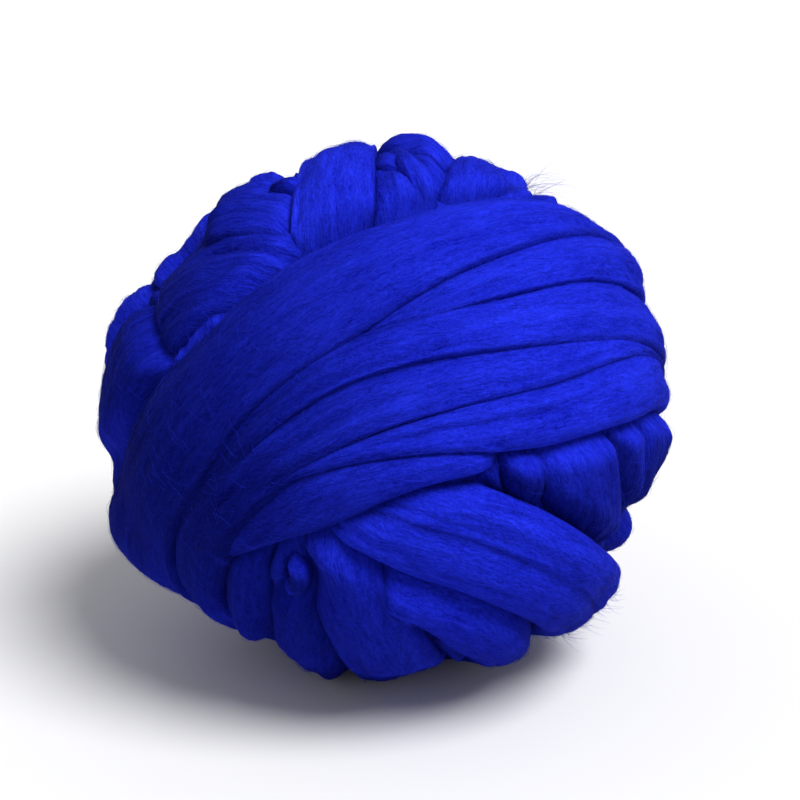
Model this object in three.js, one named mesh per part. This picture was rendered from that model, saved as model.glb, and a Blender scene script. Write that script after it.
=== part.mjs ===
// A ball of thick, soft, unspun wool yarn, wound by hand from one long strand.
// The strand lies in broad flattened turns, and each layer of turns presses on the one below it.
// Millimetres, +Z up. The origin is on the resting plane, under the middle of the ball.

import * as THREE from 'three';
import { mergeVertices } from 'three/addons/utils/BufferGeometryUtils.js';

// The ball, measured to the crest of its turns, and the spot that it rests on
const BALL_RADIUS = 93;
const BALL_HALF_HEIGHT = 89.5;
const FLAT_SPOT_DEPTH = 4;
const FLAT_SPOT_RADIUS = 28;

// The section of the strand in a turn: a flat crest with edges that curve down
const EDGE_DROP = 7.5;
const CREST_FLATNESS = 2.5;
const NARROWEST = 3;

// The end of a turn goes under its neighbours over this length, down to this depth
const TUCK_LENGTH = 20;
const TUCK_DEPTH = 13;

// A later layer presses an earlier one in by this depth, which fades out from inside its edge to
// outside it
const PRESS_DEPTH = 7;
const PRESS_INSIDE = 3;
const PRESS_OUTSIDE = 9;

// What lies under all the turns that show
const HEART_DEPTH = 10;

// The mesh: splits of each edge of the base solid, and how near a crease pulls in a corner
const EDGE_SPLITS = 24;
const CREASE_REACH = 0.42;
const CREASE_STEPS = 7;

// A hand-wound ball is uneven. One row for each broad swell or hollow: the compass angle and the
// height of its middle in degrees, how many degrees it reaches, and its rise in millimetres.
const SWELLS = [
  { compass: -150, height: -54, reach: 26, rise: -4 },
  { compass: -171, height: -22, reach: 23, rise: 8.5 },
  { compass: -117, height: -68, reach: 18, rise: 3 },
  { compass: 172, height: 16, reach: 20, rise: 3.5 },
  { compass: 162, height: 39, reach: 16, rise: -4 },
  { compass: -179, height: 43, reach: 14, rise: -5 },
  { compass: 128, height: 66, reach: 18, rise: -2 },
  { compass: 146, height: 58, reach: 11, rise: -3 },
  { compass: 153, height: 76, reach: 10, rise: -2.5 },
  { compass: 32, height: 54, reach: 9, rise: 3 },
  { compass: 14, height: 33, reach: 12, rise: 2 },
  { compass: 7, height: 19, reach: 30, rise: 3 },
  { compass: -1, height: -4, reach: 12, rise: 3.5 },
  { compass: -20, height: -17, reach: 10, rise: -4 },
  { compass: -17, height: -40, reach: 18, rise: 4.5 },
  { compass: -63, height: -68, reach: 16, rise: -3 },
  { compass: -83, height: -57, reach: 13, rise: -3.5 },
];

// One row for each turn of the strand. A turn runs round a winding axis, which points to the compass
// angle and the height in its axis column. Angles are in degrees and lengths in millimetres.
// sides: how far the turn strays from the great circle of its axis, at equal steps along the turn.
// widths: its width at equal steps. rises: how far its crest stands off the ball. One value is a
// constant. lean: how far the edge away from the axis stands up, and the other edge lies down.
// span: the angles where a turn starts and ends. A turn without a span goes all the way round.
// layer: the order of winding. The highest layer was wound on last. press: the share of the full
// depth that a small turn presses the layers under it in by. A turn without it presses fully.
const TURNS = [
  { name: 'belt_1', axis: [128, 34], layer: 4, lean: 1.5, sides: [1.2, 2, 2, 4, 2, -2, -5, -0.5],
    widths: [39, 38, 29, 16, 24, 34, 38, 54], rises: [1, 0, 1, 2, 0, 0, 0, 1] },
  { name: 'belt_2', axis: [128, 42], layer: 4, lean: 1.5, sides: [0, -3, -1, 3, 5, 4, 2, 1],
    widths: [10, 10, 18, 28, 29, 24, 18, 12], rises: [-4, -4, 0, 2, 1, 0, 0, -3] },
  { name: 'belt_3', axis: [124, 34], layer: 4, lean: 1.5, sides: [-17, -14, -20, -16, -11, -13, -18, -21],
    widths: [13, 13, 22, 27, 25, 23, 23, 20], rises: [-2, 0, 0, 0, 0, 0, 0, 0] },
  { name: 'belt_4', axis: [124, 38], layer: 4, lean: 1.5,
    sides: [-19, -19.5, -24.5, -20, -18, -20, -24, -25],
    widths: [27, 22, 19, 8, 20, 23, 23, 23], rises: [0, 0, 0, -1, 0, 0, 0, 0] },
  { name: 'belt_5', axis: [125, 62], layer: 4, lean: 1.5, sides: [-12, -8, -10, -8, -9, -11, -11, -12],
    widths: [9, 8, 24, 27, 27, 25, 21, 13], rises: [-3, 0, 1, 0, 0, 0, 0, -3] },
  { name: 'belt_6', axis: [106, 45], layer: 4, lean: 1, span: [8, 106],
    sides: [-33, -35.5, -34, -33.5, -34], widths: [15, 18, 25, 17, 6], rises: [-3, -0.5, 0.5, 0, -1] },
  { name: 'low_1', axis: [68, 52], layer: 3, lean: 0, sides: [-30, -32, -33, -30, -29.5, -25, -24, -27],
    widths: [20, 20, 18, 21, 20, 22, 22, 20], rises: [-7, 0, 0, 1, 4, 2, 0, 0] },
  { name: 'low_2', axis: [68, 52], layer: 3, lean: 0, sides: [-38, -39, -37, -39, -37, -36, -38, -40],
    widths: [20, 18, 14, 25, 23, 22, 22, 20], rises: [-7, 0, 0, 1, 4, 2, 0, 0] },
  { name: 'low_3', axis: [68, 52], layer: 2, lean: 0, span: [112, 262], sides: [-50, -51, -51, -50, -50],
    widths: [14, 26, 25, 22, 20], rises: [1, 1, 3, 2, 0] },
  { name: 'rise_1', axis: [0, 5], layer: 2, lean: 0, sides: [-8, -6, -5, -7, -11, -3, 0, -4],
    widths: [26, 26, 27, 26, 22, 33, 30, 26], rises: [0, 0, 2, 0, 0, 1, 0, 0] },
  { name: 'rise_2', axis: [0, 5], layer: 1, lean: 0, sides: [8, 7, 6, 11, 12, 14, 10, 8],
    widths: [26, 26, 24, 30, 26, 24, 24, 26], rises: [0, 0, 2, 1, 0, 0, 0, 0] },
  { name: 'rise_3', axis: [0, 5], layer: 1, lean: 0, sides: [24, 25, 29, 34, 43.5, 46, 38, 30],
    widths: [30, 32, 34, 36, 35, 34, 30, 30], rises: [0, 0, 0, 0, 0, -2, 0, 0] },
  { name: 'rise_4', axis: [0, 5], layer: 1, lean: 0, sides: [-21, -24, -22, -20, -16, -18, -20, -19],
    widths: [26, 26, 18, 22, 26, 32, 30, 26], rises: [0, 0, -1, 0, 0, 0, 0, 0] },
  { name: 'rise_5', axis: [0, 5], layer: 0, lean: 0, sides: [50, 54, 58, 62, 61, 55, 50, 48],
    widths: [36, 34, 32, 30, 30, 30, 34, 36], rises: [0, 0, 0, 0, -2, 0, 0, 0] },
  { name: 'rise_6', axis: [0, 5], layer: 1, lean: 0, span: [158, 200], sides: [28, 28.5, 30],
    widths: [10, 13, 12], rises: 0 },
  { name: 'rise_7', axis: [0, 5], layer: 0, lean: 0, sides: [16, 16, 16, 20, 26, 28, 24, 20],
    widths: 30, rises: [0, 0, 0, -2, -2, 0, 0, 0] },
  { name: 'crest_1', axis: [77, 7], layer: 2, lean: 0, span: [80, 118], sides: [8, 5, 0, -2],
    widths: [16, 20, 21, 14], rises: [0, 1.5, 0.5, 0] },
  { name: 'crest_2', axis: [77, 7], layer: 2, lean: 0, span: [78, 124], sides: [17, 18, 13.5, 14],
    widths: [12, 19, 34, 28], rises: [0, 3, 1, -2] },
  { name: 'side_1', axis: [77, 7], layer: 2, lean: 0, span: [27, 98], sides: [-28, -25, -29, -34, -35],
    widths: [32, 49, 42, 30, 26], rises: [-2, -2.5, -1, 0, 0] },
  { name: 'side_2', axis: [77, 7], layer: 1, lean: 0, span: [-52, 54], sides: [-36, -31, -27, -28],
    widths: [30, 42, 44, 32], rises: [5, 4, 2, 0] },
  { name: 'side_3', axis: [77, 7], layer: 2, lean: 0, span: [46, 86], sides: [-14, -10, -14, -24],
    widths: [20, 34, 34, 20], rises: [0, 2, 0.5, -2] },
  { name: 'back_1', axis: [77, 7], layer: 1, lean: 0, sides: [44, 47, 49, 46, 42, 39, 39, 41],
    widths: [34, 34, 36, 34, 32, 32, 34, 34], rises: 0 },
  { name: 'back_2', axis: [84, 10], layer: -1, lean: 0, sides: [22, 24, 25, 20, 16, 14, 14, 18],
    widths: [42, 42, 40, 38, 36, 38, 40, 42], rises: 0.5 },
  { name: 'back_3', axis: [70, 4], layer: -1, lean: 0, sides: [68, 70, 70, 68, 66, 66, 68, 70],
    widths: 46, rises: 0.5 },
  { name: 'under_1', axis: [4, 3], layer: -2, lean: 0, sides: [-42, -42, -42, -40, -38, -38, -40, -42],
    widths: 44, rises: 1 },
  { name: 'under_2', axis: [-6, 8], layer: -2, lean: 0, sides: [-66, -68, -68, -66, -66, -66, -68, -68],
    widths: 50, rises: 1 },
  { name: 'under_3', axis: [90, 20], layer: -3, lean: 0, sides: [-4, 0, 4, 4, 0, -4, -6, -6],
    widths: 60, rises: 1 },
  { name: 'under_4', axis: [100, -30], layer: -4, lean: 0, sides: [0, 4, 0, -4, 0, 4, 0, -4],
    widths: 56, rises: 1 },
  { name: 'curl_1', axis: [-111, -15], layer: 3, lean: 0, span: [-160, 130], sides: [85.5, 86, 86.5],
    widths: [5, 7, 6], rises: [-3, -1, -3] },
  { name: 'top_1', axis: [0, 5], layer: 3, lean: 0.5, press: 0.6, span: [64, 126],
    sides: [26, 25.5, 24.5, 23.5, 22], widths: [20, 24, 26, 27, 24], rises: [0, -0.5, -0.5, 0, 0] },
];

const FULL_CIRCLE = 2 * Math.PI;
const radians = THREE.MathUtils.degToRad;
const ease = THREE.MathUtils.smoothstep;

// The unit direction to a compass angle and a height
function directionTo(compass, height) {
  return new THREE.Vector3().setFromSphericalCoords(1, radians(90 - height), radians(compass + 90))
    .applyAxisAngle(new THREE.Vector3(1, 0, 0), Math.PI / 2);
}

// A smooth curve through the values of a column, at a place from 0 to 1 along the turn
function alongColumn(values, place, closed) {
  if (typeof values === 'number') return values;
  const count = values.length;
  const steps = closed ? count : count - 1;
  const x = closed ? (place - Math.floor(place)) * steps : THREE.MathUtils.clamp(place, 0, 1) * steps;
  const first = Math.min(Math.floor(x), steps - 1);
  const pick = (index) => {
    if (closed) return values[(index + count) % count];
    if (index < 0) return 2 * values[0] - values[1];
    if (index >= count) return 2 * values[count - 1] - values[count - 2];
    return values[index];
  };
  const [before, start, end, after] = [-1, 0, 1, 2].map((offset) => pick(first + offset));
  const f = x - first;
  const bend = 2 * before - 5 * start + 4 * end - after + f * (3 * (start - end) + after - before);
  return start + 0.5 * f * (end - before + f * bend);
}

// A turn with its own frame: its winding axis, where its angle is 0, and where its angle is 90
function prepareTurn(row) {
  const [compass, height] = row.axis;
  const axis = directionTo(compass, height);
  const start = directionTo(compass + 90, 0);
  const quarter = new THREE.Vector3().crossVectors(axis, start);
  const [from, to] = (row.span ?? [0, 360]).map(radians);
  return { press: 1, ...row, axis, start, quarter, from, to, closed: row.span === undefined };
}

const turns = TURNS.map(prepareTurn);
const swells = SWELLS.map((row) => ({ ...row, middle: directionTo(row.compass, row.height) }));

// How far the ball swells out in a direction
function swellAt(direction) {
  const rise = ({ middle, reach, rise: top }) =>
    top * (1 - ease(THREE.MathUtils.radToDeg(direction.angleTo(middle)), 0, reach));
  return swells.reduce((sum, swell) => sum + rise(swell), 0);
}

// Where a direction from the middle of the ball lies on a turn: how far across it in half widths,
// how far past its edge, and how much of the turn is there, from 0 past a tucked end to 1
function spotOnTurn(turn, direction) {
  const length = turn.to - turn.from;
  const middle = (turn.from + turn.to) / 2;
  const angle = Math.atan2(direction.dot(turn.quarter), direction.dot(turn.start));
  const fromMiddle = THREE.MathUtils.euclideanModulo(angle - middle + Math.PI, FULL_CIRCLE) - Math.PI;
  const place = fromMiddle / length + 0.5;
  const column = (values, at = place) => alongColumn(values, at, turn.closed);

  const side = radians(column(turn.sides));
  const step = 0.004;
  const stray = radians(column(turn.sides, place + step) - column(turn.sides, place - step));
  const slope = stray / (2 * step * length * Math.cos(side));
  const aside = Math.asin(THREE.MathUtils.clamp(direction.dot(turn.axis), -1, 1)) - side;
  const across = aside * BALL_RADIUS / Math.hypot(1, slope);
  const halfWidth = Math.max(column(turn.widths), NARROWEST) / 2;

  const trueLength = length * BALL_RADIUS * Math.cos(side);
  const fromEnd = turn.closed ? TUCK_LENGTH : Math.min(place, 1 - place) * trueLength;
  return {
    share: across / halfWidth,
    past: Math.abs(across) - halfWidth,
    halfWidth,
    rise: column(turn.rises),
    present: ease(fromEnd, 0, Math.min(TUCK_LENGTH, trueLength / 3)),
  };
}

// The radius of the wound ball in a direction, and the turn that lies on top there
function windingAt(direction) {
  const spots = turns.map((turn) => spotOnTurn(turn, direction));
  const cover = spots.map(({ present, past }, index) =>
    turns[index].press * present * (1 - ease(past, -PRESS_INSIDE, PRESS_OUTSIDE)));
  let height = -HEART_DEPTH;
  let top = -1;
  turns.forEach((turn, index) => {
    const { share, halfWidth, rise, present } = spots[index];
    if (present === 0 || Math.abs(share) >= 1) return;
    const pressed = Math.max(0, ...cover.filter((_, other) => turns[other].layer > turn.layer));
    const drop = Math.min(EDGE_DROP, halfWidth) * (1 - Math.sqrt(1 - Math.abs(share) ** CREST_FLATNESS));
    const crest = rise - turn.lean * share - drop - TUCK_DEPTH * (1 - present) - PRESS_DEPTH * pressed;
    if (crest > height) {
      height = crest;
      top = index;
    }
  });
  return { radius: BALL_RADIUS + height + swellAt(direction), top };
}

// Corners spread evenly over the unit sphere
function evenSphere() {
  const base = new THREE.IcosahedronGeometry(1, EDGE_SPLITS - 1);
  base.deleteAttribute('normal');
  base.deleteAttribute('uv');
  return mergeVertices(base, 1e-5);
}

// The direction and radius of each corner. A corner beside the crease between two turns moves along
// its edge onto the crease, and takes the lower radius there.
function cornersOnCreases(geometry) {
  const points = geometry.attributes.position;
  const corners = Array.from({ length: points.count }, (_, i) => {
    const direction = new THREE.Vector3().fromBufferAttribute(points, i).normalize();
    return { direction, ...windingAt(direction), share: CREASE_REACH };
  });
  const faces = geometry.index.array;
  const between = (a, b, share) =>
    new THREE.Vector3().lerpVectors(a.direction, b.direction, share).normalize();
  const moved = corners.map((corner) => ({ ...corner }));
  for (let i = 0; i < faces.length; i += 1) {
    const [first, second] = [faces[i], faces[i % 3 === 2 ? i - 2 : i + 1]];
    const [a, b] = [corners[first], corners[second]];
    if (first > second || a.top === b.top) continue;
    let near = 0;
    let far = 1;
    for (let step = 0; step < CREASE_STEPS; step += 1) {
      const half = (near + far) / 2;
      if (windingAt(between(a, b, half)).top === a.top) near = half;
      else far = half;
    }
    const direction = between(a, b, (near + far) / 2);
    const radius = Math.min(windingAt(between(a, b, near)).radius, windingAt(between(a, b, far)).radius);
    if (far < moved[first].share) moved[first] = { direction, radius, share: far };
    if (1 - near < moved[second].share) moved[second] = { direction, radius, share: 1 - near };
  }
  return moved;
}

// The place of a corner. Within the flat spot, and below its plane, it is on the plane.
function placeOf({ direction, radius }) {
  const middle = BALL_HALF_HEIGHT - FLAT_SPOT_DEPTH;
  const place = direction.clone().multiplyScalar(radius);
  place.z *= BALL_HALF_HEIGHT / BALL_RADIUS;
  const toPlane = -middle / place.z;
  const overSpot = Math.hypot(place.x, place.y) * toPlane < FLAT_SPOT_RADIUS;
  if (direction.z < 0 && (overSpot || toPlane < 1)) place.multiplyScalar(toPlane);
  return place.setZ(Math.max(place.z + middle, 0));
}

function woundBall() {
  const geometry = evenSphere();
  cornersOnCreases(geometry).map(placeOf).forEach((place, i) => {
    geometry.attributes.position.setXYZ(i, place.x, place.y, place.z);
  });
  geometry.computeVertexNormals();
  return geometry;
}

const wool = new THREE.MeshStandardMaterial({ color: 0x1a22b4, roughness: 0.95, metalness: 0 });
const yarnBall = new THREE.Mesh(woundBall(), wool);
yarnBall.name = 'yarn_ball';

const object = new THREE.Group();
object.add(yarnBall);

export default object;
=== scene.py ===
# %% [markdown]
# A ball of thick wool yarn, the unspun kind that is wound by hand from one long, loose strand.
# The finished scene has one wound ball made of separate turns of the strand, fine fibres that lie
# on the turns and stand off their edges, a few loose wisps, a pale floor and soft light. The packed
# model is loaded first, because it fixes the size and the place of everything.

# %% Load the frame
import math

import bpy
import numpy as np
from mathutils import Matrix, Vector


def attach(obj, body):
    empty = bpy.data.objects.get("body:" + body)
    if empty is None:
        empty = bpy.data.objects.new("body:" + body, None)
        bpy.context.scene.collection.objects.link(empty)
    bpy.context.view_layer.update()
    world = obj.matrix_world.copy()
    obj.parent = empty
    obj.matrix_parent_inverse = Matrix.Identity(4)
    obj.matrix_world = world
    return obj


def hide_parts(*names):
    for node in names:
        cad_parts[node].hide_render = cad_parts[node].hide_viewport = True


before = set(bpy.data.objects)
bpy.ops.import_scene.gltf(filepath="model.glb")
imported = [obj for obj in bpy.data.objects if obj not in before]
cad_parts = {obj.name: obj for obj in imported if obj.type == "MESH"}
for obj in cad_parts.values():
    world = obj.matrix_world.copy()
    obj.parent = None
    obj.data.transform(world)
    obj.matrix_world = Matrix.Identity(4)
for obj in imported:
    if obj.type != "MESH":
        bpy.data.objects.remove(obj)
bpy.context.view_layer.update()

# %% [markdown]
# The ball's sizes are in millimetres, as a maker would measure them, and they are the sizes of
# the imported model. A turn is a flattened strand: its crest is nearly flat, its edges curve down, and
# a turn that was wound on later presses in the turns under it.

# %% The sizes of the ball and of its strand
MM = 0.001
BALL_RADIUS = 93.0
BALL_HALF_HEIGHT = 89.5
FLAT_SPOT_DEPTH = 4.0
BALL_MIDDLE = BALL_HALF_HEIGHT - FLAT_SPOT_DEPTH
SQUASH = BALL_HALF_HEIGHT / BALL_RADIUS

EDGE_DROP = 7.5
CREST_FLATNESS = 2.5
NARROWEST = 3.0
TUCK_LENGTH = 20.0
TUCK_DEPTH = 13.0
PRESS_DEPTH = 7.0
PRESS_INSIDE = 3.0
PRESS_OUTSIDE = 9.0
HEART_DEPTH = 10.0
print("an even ball would be", 2 * BALL_RADIUS, "mm wide and", BALL_MIDDLE + BALL_HALF_HEIGHT, "mm high")

# %% [markdown]
# A ball wound by hand is uneven, because its heart was wound in all directions. Broad swells and
# hollows move every turn out or in. They could be random, but these follow the outline in the
# photograph: each row gives the compass angle and the height of the middle of one and how far it
# reaches, in degrees, and then its rise in millimetres.

# %% The broad swells and hollows
SWELLS = [
    (-150, -54, 26, -4), (-171, -22, 23, 8.5), (-117, -68, 18, 3), (172, 16, 20, 3.5),
    (162, 39, 16, -4), (-179, 43, 14, -5), (128, 66, 18, -2), (146, 58, 11, -3),
    (153, 76, 10, -2.5), (32, 54, 9, 3), (14, 33, 12, 2), (7, 19, 30, 3), (-1, -4, 12, 3.5),
    (-20, -17, 10, -4), (-17, -40, 18, 4.5), (-63, -68, 16, -3), (-83, -57, 13, -3.5),
]
print(sum(row[3] > 0 for row in SWELLS), "swells and", sum(row[3] < 0 for row in SWELLS), "hollows")

# %% [markdown]
# The turns could be drawn by hand as curves. A table is easier to fit to a photograph, and the same
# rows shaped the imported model, with a few smaller folds and creases added here. A turn runs round a
# winding axis, given by its compass angle and height, and the highest layer was wound on last. Then
# come three columns at equal steps along the turn: how far it strays to the side of the great circle
# of its axis, in degrees, and its width and rise in millimetres. A turn with a span starts and ends
# at those angles, and the others go all the way round. Lean tips one edge up, and press is the share
# of the full depth by which a small turn presses in the wool under it. A crease is a long soft valley:
# its place across the turn as a share of the half width, where it begins and ends, and its depth.

# %% The turns of the strand
def direction_to(compass, height):
    """The unit direction to a compass angle and a height, both in degrees."""
    c, h = math.radians(compass), math.radians(height)
    return np.array([math.cos(h) * math.cos(c), math.cos(h) * math.sin(c), math.sin(h)])


def turn_of(name, axis, layer, sides, widths, rises, lean=0, span=None, press=1, creases=()):
    """One turn of the strand, with the three directions that it is measured from."""
    begin, finish = (math.radians(angle) for angle in span or (0, 360))
    up, start = direction_to(*axis), direction_to(axis[0] + 90, 0)
    return dict(name=name, layer=layer, sides=sides, widths=widths, rises=rises, lean=lean, press=press,
                creases=creases, closed=span is None, begin=begin, finish=finish, up=up, start=start,
                quarter=np.cross(up, start))


TURNS = [
    turn_of("belt_1", (128, 34), 4, (1.2, 2, 2, 4, 2, -2, -5, -0.5), (39, 38, 29, 16, 24, 34, 38, 54),
            (1, 0, 1, 2, 0, 0, 0, 1), lean=1.5),
    turn_of("belt_2", (128, 42), 4, (0, -3, -1, 3, 5, 4, 2, 1), (10, 10, 18, 28, 29, 24, 18, 12),
            (-4, -4, 0, 2, 1, 0, 0, -3), lean=1.5),
    turn_of("belt_3", (124, 34), 4, (-17, -14, -20, -16, -11, -13, -18, -21),
            (13, 13, 22, 27, 25, 23, 23, 20), (-2, 0, 0, 0, 0, 0, 0, 0), lean=1.5),
    turn_of("belt_4", (124, 38), 4, (-19, -19.5, -24.5, -20, -18, -20, -24, -25),
            (27, 22, 19, 8, 20, 23, 23, 23), (0, 0, 0, -1, 0, 0, 0, 0), lean=1.5),
    turn_of("belt_5", (125, 62), 4, (-12, -8, -10, -8, -9, -11, -11, -12),
            (9, 8, 24, 27, 27, 25, 21, 13), (-3, 0, 1, 0, 0, 0, 0, -3), lean=1.5),
    turn_of("belt_6", (106, 45), 4, (-33, -35.5, -34, -33.5, -34), (15, 18, 25, 17, 6),
            (-3, -0.5, 0.5, 0, -1), lean=1, span=(8, 106)),
    turn_of("low_1", (68, 52), 3, (-30, -32, -33, -30, -29.5, -25, -24, -27),
            (20, 20, 18, 21, 20, 22, 22, 20), (-7, 0, 0, 1, 4, 2, 0, 0)),
    turn_of("low_2", (68, 52), 3, (-38, -39, -37, -39, -37, -36, -38, -40),
            (20, 18, 14, 25, 23, 22, 22, 20), (-7, 0, 0, 1, 4, 2, 0, 0)),
    turn_of("low_3", (68, 52), 2, (-50, -51, -51, -50, -50), (14, 26, 25, 22, 20), (1, 1, 3, 2, 0),
            span=(112, 262)),
    turn_of("rise_1", (0, 5), 2, (-8, -6, -5, -7, -11, -3, 0, -4), (26, 26, 27, 26, 22, 33, 30, 26),
            (0, 0, 2, 0, 0, 1, 0, 0)),
    turn_of("rise_2", (0, 5), 1, (8, 7, 6, 11, 12, 14, 10, 8), (26, 26, 24, 30, 26, 24, 24, 26),
            (0, 0, 2, 1, 0, 0, 0, 0)),
    turn_of("rise_3", (0, 5), 1, (24, 25, 29, 34, 43.5, 46, 38, 30), (30, 32, 34, 36, 35, 34, 30, 30),
            (0, 0, 0, 0, 0, -2, 0, 0)),
    turn_of("rise_4", (0, 5), 1, (-21, -24, -22, -20, -16, -18, -20, -19),
            (26, 26, 18, 22, 26, 32, 30, 26), (0, 0, -1, 0, 0, 0, 0, 0)),
    turn_of("rise_5", (0, 5), 0, (50, 54, 58, 62, 61, 55, 50, 48), (36, 34, 32, 30, 30, 30, 34, 36),
            (0, 0, 0, 0, -2, 0, 0, 0)),
    turn_of("rise_6", (0, 5), 1, (28, 28.5, 30), (10, 13, 12), 0, span=(158, 200)),
    turn_of("rise_7", (0, 5), 0, (16, 16, 16, 20, 26, 28, 24, 20), 30, (0, 0, 0, -2, -2, 0, 0, 0)),
    turn_of("crest_1", (77, 7), 2, (8, 5, 0, -2), (16, 20, 21, 14), (0, 1.5, 0.5, 0), span=(80, 118)),
    turn_of("crest_2", (77, 7), 2, (17, 18, 13.5, 14), (12, 19, 34, 28), (0, 3, 1, -2), span=(78, 124)),
    turn_of("side_1", (77, 7), 2, (-28, -25, -29, -34, -35), (32, 49, 42, 30, 26), (-2, -2.5, -1, 0, 0),
            span=(27, 98),
            creases=((0.33, 0.3, 0.9, 2.2), (0.02, 0.36, 0.84, 1.4), (-0.45, 0.1, 0.6, 0.8))),
    turn_of("side_2", (77, 7), 1, (-36, -31, -27, -28), (30, 42, 44, 32), (5, 4, 2, 0), span=(-52, 54)),
    turn_of("side_3", (77, 7), 2, (-14, -10, -14, -24), (20, 34, 34, 20), (0, 2, 0.5, -2),
            span=(46, 86),
            creases=((-0.35, 0.2, 0.95, 1.6), (0.0, 0.3, 0.95, 1.6), (0.4, 0.4, 1.0, 1.4))),
    turn_of("back_1", (77, 7), 1, (44, 47, 49, 46, 42, 39, 39, 41), (34, 34, 36, 34, 32, 32, 34, 34),
            0),
    turn_of("back_2", (84, 10), -1, (22, 24, 25, 20, 16, 14, 14, 18), (42, 42, 40, 38, 36, 38, 40, 42),
            0.5),
    turn_of("back_3", (70, 4), -1, (68, 70, 70, 68, 66, 66, 68, 70), 46, 0.5),
    turn_of("under_1", (4, 3), -2, (-42, -42, -42, -40, -38, -38, -40, -42), 44, 1),
    turn_of("under_2", (-6, 8), -2, (-66, -68, -68, -66, -66, -66, -68, -68), 50, 1),
    turn_of("under_3", (90, 20), -3, (-4, 0, 4, 4, 0, -4, -6, -6), 60, 1),
    turn_of("under_4", (100, -30), -4, (0, 4, 0, -4, 0, 4, 0, -4), 56, 1),
    turn_of("curl_1", (-111, -15), 3, (85.5, 86, 86.5), (5, 7, 6), (-3, -1, -3), span=(-160, 130)),
    turn_of("top_1", (0, 5), 3, (26, 25.5, 24.5, 23.5, 22), (20, 24, 26, 27, 24), (0, -0.5, -0.5, 0, 0),
            lean=0.5, span=(64, 126), press=0.6),
    turn_of("leaf_2", (-165, 3), 3, (-1, 0, 0, 0), (6, 9, 9, 5), (0, 1, 1, -2), span=(44, 102),
            press=0.3),
    turn_of("knob_1", (66, 19), 3, (-1.1, 0.5, 0.5, -1), (4, 7, 8, 6), (-1, 0.5, 1, 0), span=(69, 83),
            press=0.2),
]
print(len(TURNS), "turns, of which", sum(turn["closed"] for turn in TURNS), "go all the way round")

# %% [markdown]
# A strand widens, strays and sinks slowly on its way round the ball, so a few values are enough for
# each column. Straight lines between them would show as corners in the wool, so a smooth curve runs
# through them. An ease goes from 0 to 1 without a corner either. Both take whole arrays at once.

# %% Read a column smoothly
def ease(low, high, x):
    """Goes smoothly from 0 at the low value to 1 at the high one."""
    t = np.clip((x - low) / (high - low), 0, 1)
    return t * t * (3 - 2 * t)


def column(turn, name, place):
    """A smooth curve through the values of a column, at a place from 0 to 1 along the turn."""
    values = turn[name]
    if np.isscalar(values):
        return np.full(np.shape(place), float(values))
    values = np.asarray(values, float)
    count = len(values)
    if turn["closed"]:
        x = (place % 1.0) * count
        first = np.minimum(np.floor(x).astype(int), count - 1)
        before, start, end, after = (values[(first + offset) % count] for offset in (-1, 0, 1, 2))
    else:
        x = np.clip(place, 0, 1) * (count - 1)
        first = np.minimum(np.floor(x).astype(int), count - 2)
        longer = np.concatenate(([2 * values[0] - values[1]], values, [2 * values[-1] - values[-2]]))
        before, start, end, after = (longer[first + offset] for offset in (0, 1, 2, 3))
    f = x - first
    bend = 2 * before - 5 * start + 4 * end - after + f * (3 * (start - end) + after - before)
    return start + 0.5 * f * (end - before + f * bend)


first_width = float(column(TURNS[0], "widths", 0.3))
print("three tenths of the way round,", TURNS[0]["name"], "is", round(first_width, 1), "mm wide")

# %% [markdown]
# A swell is a soft bulge of the whole ball, and a hollow is the opposite. Each could be made with a
# sculpting brush, but a row of four numbers is easier to change and gives the same ball each time.

# %% Find how far the ball swells out
def swell_at(directions):
    """How far the ball swells out in each direction, in millimetres."""
    total = np.zeros(len(directions))
    for compass, height, reach, rise in SWELLS:
        angle = np.degrees(np.arccos(np.clip(directions @ direction_to(compass, height), -1, 1)))
        total += rise * (1 - ease(0, reach, angle))
    return total


top_swell = swell_at(direction_to(0, 90)[None, :])[0]
print("at the top the ball swells out by", round(float(top_swell), 2), "mm")

# %% [markdown]
# The next helpers find where a direction from the middle of the ball lies on a turn, and how high the
# turn's top is there. It could be measured on finished meshes, but the rules that shaped the packed
# model give it at once and for any direction. An open turn starts and ends deep in the ball.

# %% Find how high one turn lies
SLOPE_STEP = 0.004
SHORT_TURN_TUCKS = 3
NOTHING = -60.0


def slope_of(turn, place):
    """How steeply a turn strays sideways at a place along it."""
    length = turn["finish"] - turn["begin"]
    side = np.radians(column(turn, "sides", place))
    later = column(turn, "sides", place + SLOPE_STEP)
    earlier = column(turn, "sides", place - SLOPE_STEP)
    return np.radians(later - earlier) / (2 * SLOPE_STEP * length * np.cos(side))


def present_at(turn, place):
    """How much of a turn is there, from 0 at a tucked end to 1."""
    if turn["closed"]:
        return np.ones(np.shape(place))
    side = np.radians(column(turn, "sides", place))
    true_length = (turn["finish"] - turn["begin"]) * BALL_RADIUS * np.cos(side)
    tuck = np.minimum(TUCK_LENGTH, true_length / SHORT_TURN_TUCKS)
    return ease(0, 1, np.minimum(place, 1 - place) * true_length / tuck)


def edge_drop(half_width, share):
    """How far a turn's top has dropped at a share of its half width."""
    left = np.sqrt(np.maximum(1 - np.abs(share) ** CREST_FLATNESS, 0))
    return np.minimum(EDGE_DROP, half_width) * (1 - left)


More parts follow.
